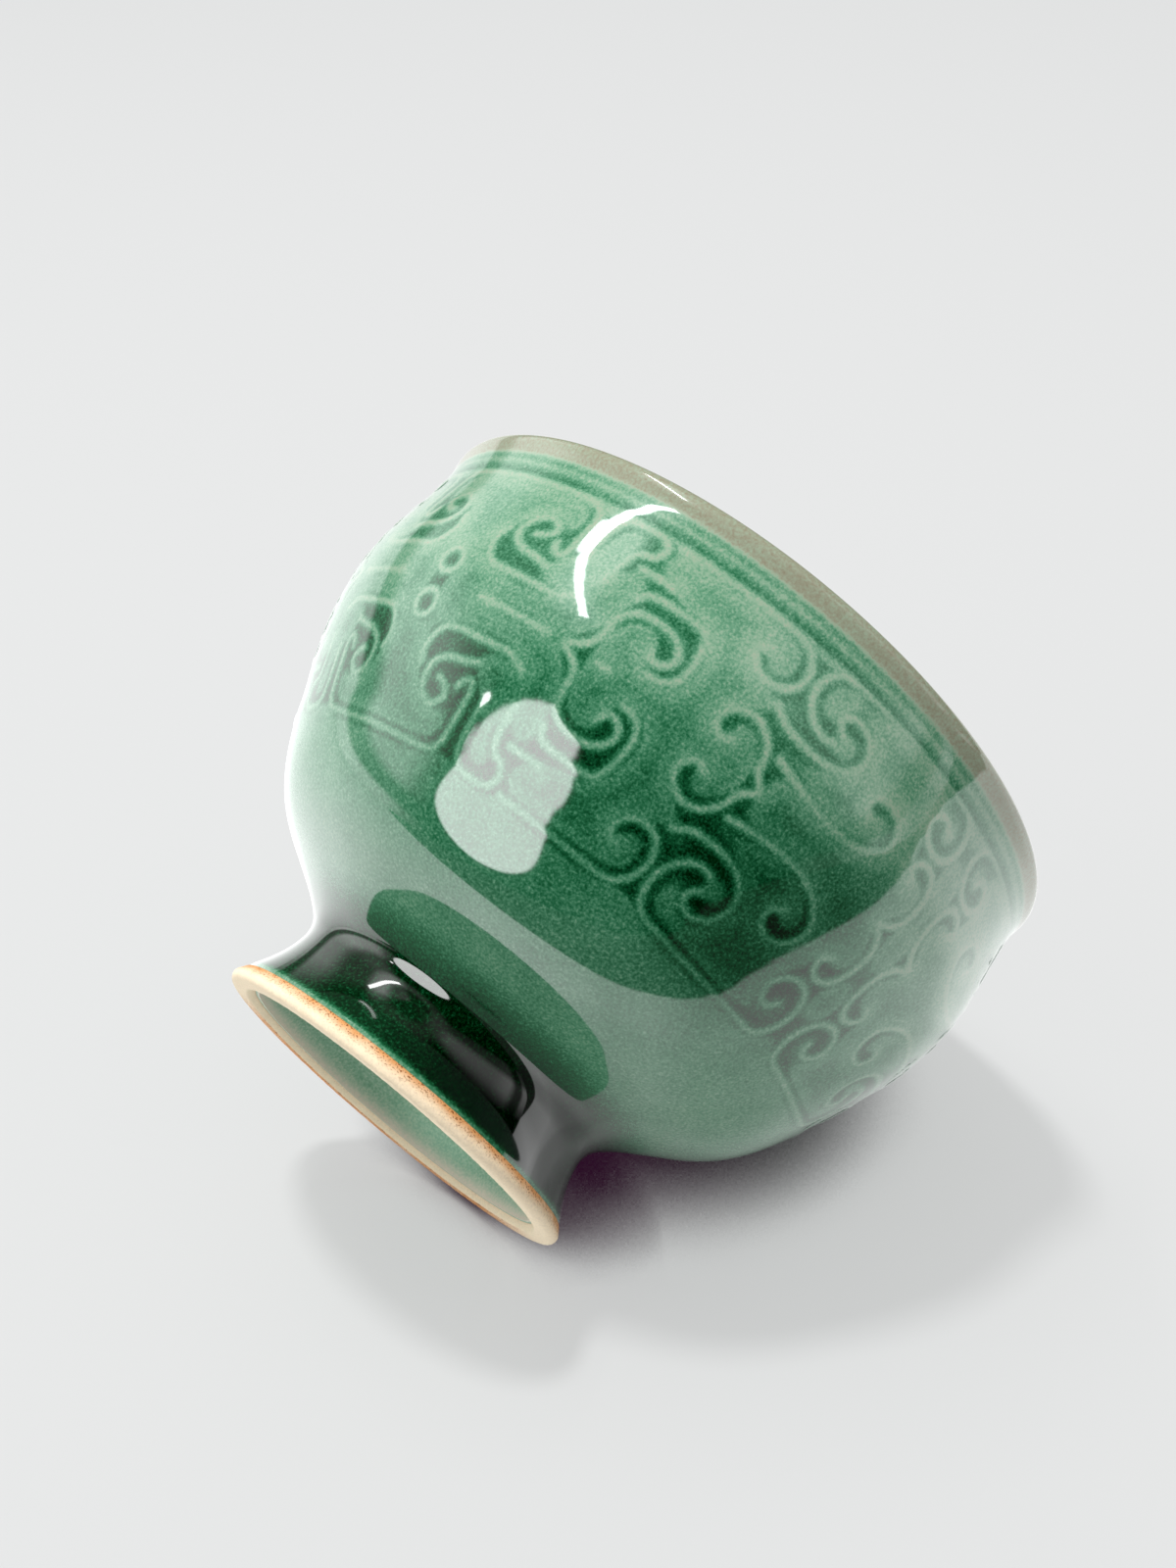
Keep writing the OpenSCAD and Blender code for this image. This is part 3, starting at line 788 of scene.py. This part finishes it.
class CUP_OT_foot(bpy.types.Operator):
    """Build the bare foot ring and the glaze of its well"""
    bl_idname = "cup.foot"
    bl_label = "Foot"

    def execute(self, context):
        self.ring(context.scene)
        self.well(context.scene)
        return {"FINISHED"}

    def ring(self, scene):
        """The clay ring, with grit where it is bare and a flush by the glaze."""
        outline = section("foot_ring")
        closed = np.concatenate([outline, outline[:1]])
        knots = ways(closed)
        s = np.linspace(0, knots[-1], int(knots[-1] / RING_STEP), endpoint=False)
        radius, height = (np.interp(s, knots, closed[:, i]) for i in (0, 1))
        area = np.sum(radius * np.roll(height, -1) - np.roll(radius, -1) * height)
        if area < 0:
            radius, height = radius[::-1], height[::-1]
        for _ in range(RING_ROUNDS):
            radius, height = ((np.roll(v, 1) + 2 * v + np.roll(v, -1)) / 4 for v in (radius, height))
        angles = turns(RING_COLUMNS)
        grid = around(radius[:, None], height[:, None], angles[None, :])
        bare = 1 - ease(*BARE_END, height)[:, None]
        size = scene.cup_foot.grain / MM
        rough = np.array([[noise.noise(Vector(p) / size)
                           + COARSE_SHARE * noise.noise(Vector(p) / (COARSE_GRIT * size))
                           for p in row] for row in grid])
        grit = bare * np.clip(GRIT_DEPTH * (1 + rough), 0, GRIT_MOST)
        grid = grid - grid_normals(grid, True) * grit[..., None]
        grid[..., 2] = np.maximum(grid[..., 2], 0)
        depth = self.flush(radius, height, angles)
        mesh = belt_mesh("foot_ring_bare", grid, grid_normals(grid, True), len(grid), True, depth)
        clay = bare_stoneware(scene.cup_foot)
        place_piece("foot_ring_bare", mesh, clay, "foot_ring")

    def flush(self, radius, height, angles):
        """Iron flush of the bare clay, from 0 to 1, and up to 2 under a film of glaze on the inner bevel
        and under a painted highlight on the inner part of the land.
        """
        outside = radius > (radius.min() + radius.max()) / 2
        flush = np.where(outside, hump(FLUSH_HEIGHT, FLUSH_HALF, height), ease(*INNER_FLUSH, height))
        land = radius[height < LAND_TOP]
        inward = (land.max() - radius) / (land.max() - land.min())
        # On the land, the pale share is a painted highlight along its inner edge, on the near side only at
        # the very edge.
        film_and_highlight = np.where(outside | (height > LAND_TOP),
                        ease(*FILM_HEIGHTS, height) * ~outside, ease(*LAND_HIGHLIGHT_SHARES, inward))
        near_highlight = np.where((inward > NEAR_HIGHLIGHT_START) & ~outside, NEAR_HIGHLIGHT, 0)
        far_flush = np.where(height < INNER_FLUSH[1], 1.0, flush)
        far = ease(*FAR_SIDE, -np.cos(angles))[None, :]
        flush = mix(flush[:, None], far_flush[:, None], far)
        film_and_highlight = mix(near_highlight[:, None], film_and_highlight[:, None], far)
        return flush + film_and_highlight * (2 - flush)

    def well(self, scene):
        """The glaze of the well, rounded where wall and ceiling meet."""
        face = face_of("well_glaze", LOW_IN, AT_AXIS)
        corner = np.concatenate([face, [[PINHOLE, face[-1, 1]]]])
        knots = ways(corner)
        s = np.linspace(knots[-1], 0, WELL_ROWS)
        path = np.stack([np.interp(s, knots, corner[:, i]) for i in (0, 1)], axis=1)
        for _ in range(WELL_ROUNDS):
            path[1:-1] = (path[:-2] + 2 * path[1:-1] + path[2:]) / 4
        top = face[-1] + COAT
        back = np.concatenate([face + [COAT, 0], [top, [PINHOLE, top[1]]]])
        belt = np.concatenate([path, back])
        grid = around(belt[:, :1], belt[:, 1:], turns(WELL_COLUMNS)[None, :])
        normals = np.concatenate([grid_normals(grid[:len(path)]), grid[len(path):] * 0])
        depth = mix(*WELL_DEPTHS, ease(0, WELL_EDGE, s))
        depth = np.concatenate([depth, np.full(len(back), WELL_DEPTHS[1])])
        depth = np.broadcast_to(depth[:, None], grid.shape[:2])
        mesh = belt_mesh("well_glaze_disc", grid, normals, len(path), True, depth)
        glaze = celadon_glaze(
            scene.cup_glaze, "celadon_glaze_dull_in_well", roughness=0.55, iron=(0, 0, 0))
        place_piece("well_glaze_disc", mesh, glaze, "well_glaze")


class CUP_OT_body(bpy.types.Operator):
    """Give the hidden clay body and its slip joint their materials"""
    bl_idname = "cup.body"
    bl_label = "Clay body"

    def execute(self, context):
        settings = context.scene.cup_foot
        for node, name in (("bowl_body", "stoneware_clay_thrown"), ("luting_slip", "clay_slip_joint")):
            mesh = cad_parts[node].data
            mesh.materials.clear()
            mesh.materials.append(bare_stoneware(settings, name))
        return {"FINISHED"}


class CUP_OT_stage(bpy.types.Operator):
    """Set the floor under the lying cup, the light and the camera"""
    bl_idname = "cup.stage"
    bl_label = "Stage"

    def execute(self, context):
        scene = context.scene
        settings = scene.cup_stage
        sideways = self.camera(scene, settings)
        base, up = self.rest(scene, settings)
        right = (sideways - up * sideways.dot(up)).normalized()
        axes = (right, right.cross(up), up)
        middle = Vector((0, 0, MIDDLE * MM))
        self.floor(settings, base, axes, middle)
        self.world(scene, settings, axes)
        self.key(axes, middle)
        self.flag()
        scene.view_settings.view_transform = "Standard"
        return {"FINISHED"}

    def camera(self, scene, settings):
        """The camera, close to the cup, rolled and aimed at the band. Gives its right side."""
        data = bpy.data.cameras.new("studio_camera")
        data.lens = LENS
        data.clip_start = 10 * MM
        camera = placed("studio_camera", data)
        place, aim = Vector(CAMERA_PLACE) * MM, Vector(CAMERA_AIM) * MM
        ahead = (aim - place).normalized()
        level = ahead.cross(Vector((0, 0, 1))).normalized()
        right = Matrix.Rotation(settings.roll, 3, -ahead) @ level
        matrix = Matrix((right, right.cross(ahead), -ahead)).transposed().to_4x4()
        matrix.translation = place
        camera.matrix_world = matrix
        scene.camera = camera
        return right

    def rest(self, scene, settings):
        """Where the foot's edge lies on the floor, and what is up while the belly lies on it too."""
        foot = section("foot_ring")
        foot = foot[foot[:, 1] < FOOT_EDGE_TOP]
        edge = foot[np.argmax(foot @ np.array(FOOT_CORNER))]
        grid = skin(scene)
        bowl = np.stack([grid.radius, grid.height], axis=1)[:grid.bands["border"][1]]
        bowl = bowl[bowl[:, 1] > BOWL_START]
        lean = np.arctan2(bowl[:, 0] - edge[0], bowl[:, 1] - edge[1]).max()
        side = Vector((math.sin(settings.lie), -math.cos(settings.lie), 0))
        axis = Vector((0, 0, 1))
        up = (-math.cos(lean) * side + math.sin(lean) * axis).normalized()
        return (side * edge[0] + axis * edge[1] - up * FLOOR_GAP) * MM, up

    def floor(self, settings, base, axes, middle):
        """A wide floor under the cup."""
        right, back, _ = axes
        corners = [base + (right * x - back * y) * FLOOR_REACH
                   for x, y in ((-1, -1), (1, -1), (1, 1), (-1, 1))]
        mesh = bpy.data.meshes.new("studio_floor")
        mesh.from_pydata([c[:] for c in corners], [], [(0, 1, 2, 3)])
        mesh.materials.append(self.board(settings, base, axes, middle))
        floor = placed("studio_floor", mesh)

    def board(self, settings, base, axes, middle):
        """Matt studio board: pale and even, with a soft shadow and a painted contact shadow that is dark
        where the cup touches it.
        """
        material = blank_material("matt_studio_board")
        tree = material.node_tree
        place = add(tree, "NewGeometry").outputs["Position"]
        shift = add(tree, "VectorMath", {0: place, 1: middle}, operation="SUBTRACT")
        # The board as the glaze mirrors it: levels by direction, dimmer by the cup as a painted shadow,
        # ending at the viewer.
        azimuth, back, _ = self.heading(tree, shift, axes)
        gain = self.levels(tree, azimuth, (
            (-180, 1.2), (-165, 1.4), (-150, 2.2), (-138, 2.6), (-127, 2.6), (-114, 3.1), (-100, 3.6),
            (-80, 2.9), (-66, 3.25), (-53, 3.95), (-39, 3.8), (-26, 3.4), (-12, 3.0), (3, 3.0), (20, 2.1),
            (36, 2.0), (47, 2.2), (58, 2.6), (75, 2.4), (88, 2.8), (97, 2.3), (108, 1.9), (125, 1.6),
            (150, 1.0), (180, 1.0)))
        far = add(tree, "VectorMath", {0: shift}, operation="LENGTH").outputs["Value"]
        shaded = add(tree, "MapRange", {
            "Value": far, "From Min": 42 * MM, "From Max": 80 * MM, "To Min": 0.45, "To Max": 1.0})
        front = add(tree, "MapRange", {
            "Value": back, "From Min": 118 * MM, "From Max": 124 * MM, "To Min": 1.0, "To Max": 0.05})
        for share in (shaded, front):
            gain = add(tree, "Math", {0: gain, 1: share}, operation="MULTIPLY")
        ray = add(tree, "LightPath")
        gain = self.once(tree, ray, gain, BOARD_AGAIN)
        level = add(tree, "Mix", {"Factor": ray.outputs["Is Glossy Ray"], 2: 1.0, 3: gain})
        colour = add(tree, "VectorMath", {0: settings.floor, "Scale": level}, operation="SCALE")
        # Light through the board itself, which keeps the shadow pale but for the place of contact, where
        # the glow is darkened into a painted contact shadow, purple by the foot and grey further on.
        open_sky = add(tree, "AmbientOcclusion", {"Distance": 14 * MM}, samples=8).outputs["AO"]
        near = add(tree, "MapRange", {
            "Value": open_sky, "From Min": 0.22, "From Max": 0.7}, interpolation_type="SMOOTHSTEP")
        apart = add(tree, "VectorMath", {0: place, 1: base}, operation="DISTANCE").outputs["Value"]
        beyond = add(tree, "MapRange", {
            "Value": apart, "From Min": 18 * MM, "From Max": 36 * MM})
        purple, grey = ((*linear(code), 1) for code in ("#2c0a26", "#2a2a2b"))
        dark = add(tree, "Mix", {
            "Factor": beyond, 6: purple, 7: grey}, data_type="RGBA").outputs[2]
        shade = add(tree, "Mix", {
            "Factor": near, 6: dark, 7: (*[SHADE_LIGHT] * 3, 1)}, data_type="RGBA").outputs[2]
        shade = add(tree, "VectorMath", {0: shade, 1: colour}, operation="MULTIPLY")
        glow = add(tree, "Emission", {"Color": shade})
        matt = add(tree, "VectorMath", {0: shade, "Scale": BOARD_MATT}, operation="SCALE")
        matt = add(tree, "BsdfDiffuse", {"Color": matt})
        board = add(tree, "AddShader", {0: matt, 1: glow})
        self.one_sided(tree, board)
        return material

    def one_sided(self, tree, front):
        """Surface with a shader in front, and clear from its back."""
        back = add(tree, "NewGeometry").outputs["Backfacing"]
        clear = add(tree, "BsdfTransparent")
        surface = add(tree, "MixShader", {0: back, 1: front, 2: clear})
        add(tree, "OutputMaterial", {"Surface": surface})

    def world(self, scene, settings, axes):
        """Even light for the colours, and a studio with a window for the gloss."""
        world = bpy.data.worlds.new("studio_world")
        scene.world = world
        world.use_nodes = True
        tree = world.node_tree
        tree.nodes.clear()
        way = add(tree, "TexCoord").outputs["Generated"]
        ray = add(tree, "LightPath")
        studio = self.studio(tree, way, axes)
        # A round window at the left front and a small bulb beside it.
        for turn, elevation, radius, level in WINDOWS:
            centre = self.direction(axes, turn, elevation)
            facing = add(tree, "VectorMath", {0: way, 1: centre}, operation="DOT_PRODUCT")
            rim, pane = (math.cos(math.radians(share * radius)) for share in WINDOW_EDGE)
            glass = add(tree, "MapRange", {
                "Value": facing.outputs["Value"], "From Min": rim, "From Max": pane, "To Max": level})
            studio = add(tree, "Math", {0: studio, 1: glass}, operation="ADD")
        studio = self.once(tree, ray, studio, ROOM_AGAIN)
        # Soft light for the colours, stronger from the left and from behind.
        bright = self.direction(axes, *SOFT_SIDE)
        toward = add(tree, "VectorMath", {0: way, 1: bright}, operation="DOT_PRODUCT")
        low, high = (share * settings.ambient for share in SOFT_SHARES)
        soft = add(tree, "MapRange", {
            "Value": toward.outputs["Value"], "From Min": -0.5, "From Max": 0.8,
            "To Min": low, "To Max": high}, interpolation_type="SMOOTHSTEP")
        level = add(tree, "Mix", {"Factor": ray.outputs["Is Glossy Ray"], 2: soft, 3: studio})
        level = add(tree, "Mix", {"Factor": ray.outputs["Is Camera Ray"], 2: level, 3: BACKDROP})
        light = add(tree, "Background", {"Color": (1, 1, 1, 1), "Strength": level})
        add(tree, "OutputWorld", {"Surface": light})

    def studio(self, tree, way, axes):
        """A pale wall at the left, a greyer one at the right, a dark room between, a pale ceiling."""
        azimuth, _, above = self.heading(tree, way, axes)
        left = self.wall(tree, azimuth, above, (24, 42), 0.2, (
            (-180, 0), (-168, 0.2), (-155, 1.3), (-135, 1.6), (-124, 2.3), (-112, 3.0), (-88, 2.5),
            (-80, 0.8), (-72, 0), (180, 0)))
        grey = self.wall(tree, azimuth, above, (12, 28), 0.6, (
            (-180, 0), (29, 0), (35, 0.15), (52, 0.3), (63, 1.4), (70, 1.3), (77, 0.9), (84, 0.3),
            (90, 0), (180, 0)))
        ceiling = self.wall(tree, azimuth, above, (71, 79), 0.2, (
            (-180, 0.3), (-168, 1.0), (-158, 2.6), (-95, 2.4), (-75, 1.5), (-60, 0.4), (0, 0.15),
            (60, 0.35), (90, 0.15), (180, 0.2)))
        walls = add(tree, "Math", {0: left, 1: grey}, operation="ADD")
        # The walls are dim near the floor, but for a bright strip right over it.
        dim = add(tree, "MapRange", {
            "Value": above, **elevations(8, 14), "To Min": 0.15}, interpolation_type="SMOOTHSTEP")
        strip = add(tree, "MapRange", {
            "Value": above, **elevations(2, 4.5), "To Min": 0.85, "To Max": 0.0},
            interpolation_type="SMOOTHSTEP")
        skirting = add(tree, "Math", {0: dim, 1: strip}, operation="ADD")
        walls = add(tree, "Math", {0: walls, 1: skirting}, operation="MULTIPLY")
        high = add(tree, "MapRange", {
            "Value": above, **elevations(57, 69)}, interpolation_type="SMOOTHSTEP")
        return add(tree, "Mix", {"Factor": high, 2: walls, 3: ceiling})

    def heading(self, tree, way, axes):
        """Azimuth of a direction, to the right of the viewer, and its parts to the viewer and up."""
        across, back, above = (
            add(tree, "VectorMath", {0: way, 1: axis}, operation="DOT_PRODUCT").outputs["Value"]
            for axis in axes)
        return add(tree, "Math", {0: across, 1: back}, operation="ARCTAN2"), back, above

    def wall(self, tree, azimuth, above, fade, top, stops):
        """Light around the horizon that fades to a share of itself between two elevations."""
        share = add(tree, "MapRange", {
            "Value": above, **elevations(*fade), "To Min": 1.0, "To Max": top},
            interpolation_type="SMOOTHSTEP")
        level = self.levels(tree, azimuth, stops)
        return add(tree, "Math", {0: level, 1: share}, operation="MULTIPLY")

    def levels(self, tree, azimuth, stops):
        """Light around the horizon, given at some azimuths in degrees."""
        turn = add(tree, "Math", {
            0: azimuth, 1: 1 / math.tau, 2: 0.5}, operation="MULTIPLY_ADD")
        ramp = add(tree, "ValToRGB", {"Fac": turn})
        fill(ramp, [(angle / 360 + 0.5, [level / BRIGHTEST] * 3) for angle, level in stops])
        return add(tree, "Math", {0: ramp, 1: BRIGHTEST}, operation="MULTIPLY")

    def once(self, tree, ray, level, rest):
        """A level for the first reflection, and another one in further reflections."""
        again = add(tree, "Math", {
            0: ray.outputs["Glossy Depth"], 1: 1.5}, operation="GREATER_THAN")
        return add(tree, "Mix", {"Factor": again, 2: level, 3: rest})

    def flag(self):
        """A dim glowing bell around the foot that the gloss alone sees, a painted reflection in place of
        the bare ring.
        """
        angles = turns(REFLECTION_BELL_COLUMNS)
        points = np.concatenate([around(r, z, angles) for r, z in REFLECTION_BELL]) * MM
        faces = [(row + i, row + j, row + REFLECTION_BELL_COLUMNS + j, row + REFLECTION_BELL_COLUMNS + i)
                 for row in range(0, len(points) - REFLECTION_BELL_COLUMNS, REFLECTION_BELL_COLUMNS)
                 for i, j in zip(range(REFLECTION_BELL_COLUMNS), (*range(1, REFLECTION_BELL_COLUMNS), 0))]
        mesh = bpy.data.meshes.new("painted_foot_reflection")
        mesh.from_pydata(points.tolist(), [], faces)
        flag = placed("painted_foot_reflection", mesh)
        flag.visible_camera = flag.visible_diffuse = flag.visible_shadow = False
        # A painted reflection of the foot: a glow of dim and even green, without gloss.
        material = blank_material("painted_reflection_glow")
        reflection_glow = add(material.node_tree, "Emission", {"Color": (*linear("#95cbaa"), 1)})
        self.one_sided(material.node_tree, reflection_glow)
        mesh.materials.append(material)

    def direction(self, axes, azimuth, elevation):
        """Direction at an azimuth from the viewer, to the right, and over the floor."""
        turn, rise = math.radians(azimuth), math.radians(elevation)
        right, back, up = axes
        return math.cos(rise) * (math.sin(turn) * right + math.cos(turn) * back) + math.sin(rise) * up

    def key(self, axes, middle):
        """A strip lamp high at the left, behind the cup, and a soft one overhead for the shadow."""
        start, end = (self.direction(axes, *way) * LAMP_FAR for way in LAMP_ENDS)
        data = bpy.data.lights.new("strip_lamp", "AREA")
        data.shape = "RECTANGLE"
        data.size = (end - start).length
        data.size_y = LAMP_WIDTH
        data.energy = LAMP_LEVEL * math.pi * data.size * data.size_y
        self.lamp(data, (start + end) / 2, Vector(HIGHLIGHT) * MM, end - start)
        data = bpy.data.lights.new("overhead_lamp", "AREA")
        data.shape = "DISK"
        data.size = OVERHEAD_WIDTH
        data.energy = OVERHEAD_LEVEL * (math.pi * OVERHEAD_FAR) ** 2
        place = self.direction(axes, *OVERHEAD) * OVERHEAD_FAR
        lamp = self.lamp(data, place, middle, axes[0])
        lamp.visible_glossy = False

    def lamp(self, data, place, target, along):
        """An area lamp at a place seen from its target, facing the target."""
        lamp = placed(data.name, data)
        z = place.normalized()
        x = (along - z * along.dot(z)).normalized()
        matrix = Matrix((x, z.cross(x), z)).transposed().to_4x4()
        matrix.translation = place + target
        lamp.matrix_world = matrix
        return lamp


class CUP_PT_panel(bpy.types.Panel):
    """Lists the steps that build the cup"""
    bl_idname = "CUP_PT_panel"
    bl_label = "Celadon cup"
    bl_space_type = "VIEW_3D"
    bl_region_type = "UI"
    bl_category = "Celadon cup"

    def draw(self, context):
        for operator in OPERATORS:
            self.layout.operator(operator.bl_idname)
        for group in GROUPS:
            box = self.layout.box()
            settings = getattr(context.scene, group)
            for key in settings.__annotations__:
                box.prop(settings, key)


OPERATORS = (CUP_OT_lower_glaze, CUP_OT_scroll_band, CUP_OT_border_band, CUP_OT_lip, CUP_OT_inner_glaze,
             CUP_OT_foot, CUP_OT_body, CUP_OT_stage)
GROUPS = {"cup_glaze": CupGlazeSettings, "cup_relief": CupReliefSettings,
          "cup_foot": CupFootSettings, "cup_stage": CupStageSettings}


def register():
    for kind in (*GROUPS.values(), *OPERATORS, CUP_PT_panel):
        bpy.utils.register_class(kind)
    for name, kind in GROUPS.items():
        setattr(bpy.types.Scene, name, bpy.props.PointerProperty(type=kind))


def unregister():
    for name in GROUPS:
        delattr(bpy.types.Scene, name)
    for kind in (CUP_PT_panel, *reversed(OPERATORS), *reversed(GROUPS.values())):
        bpy.utils.unregister_class(kind)


def main():
    """Build the cup and its stage."""
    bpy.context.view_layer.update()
    register()
    bpy.ops.cup.lower_glaze()
    bpy.ops.cup.scroll_band()
    bpy.ops.cup.border_band()
    bpy.ops.cup.lip()
    bpy.ops.cup.inner_glaze()
    bpy.ops.cup.foot()
    bpy.ops.cup.body()
    bpy.ops.cup.stage()


if __name__ == "__main__":
    main()
